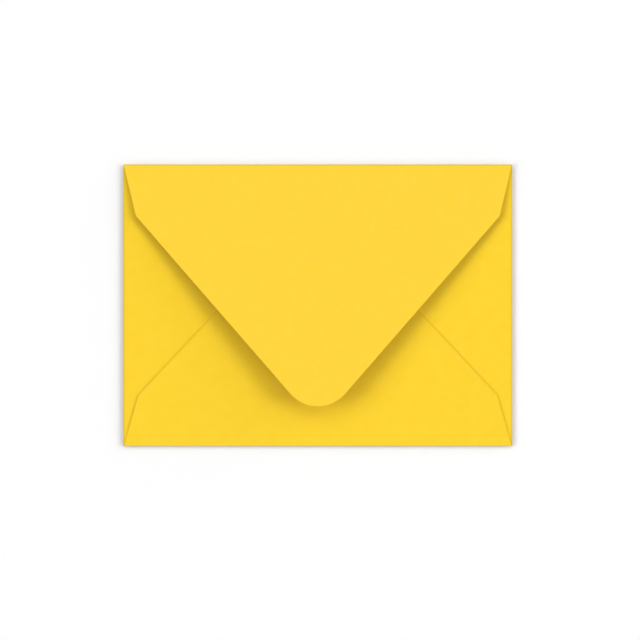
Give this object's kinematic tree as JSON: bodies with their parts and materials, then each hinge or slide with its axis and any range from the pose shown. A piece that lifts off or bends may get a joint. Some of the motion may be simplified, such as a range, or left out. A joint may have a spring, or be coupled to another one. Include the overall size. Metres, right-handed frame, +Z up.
{
  "type": "paper envelope",
  "caption": "Rectangular paper envelope with a deep pointed seal flap sprung slightly open over folded side and bottom flaps, for mailing a flat card.",
  "frame": {"origin": "middle of the front panel's outer face, which lies on the floor", "axes": "+X along the long side, +Y towards the top fold that carries the seal flap, +Z up out of the flap side"},
  "size_m": [0.1842, 0.1334, 0.0128],
  "materials": {
    "paper": "matt uncoated yellow paper"
  },
  "bodies": {
    "root": {"envelope_sheet": "paper"}
  },
  "joints": []
}
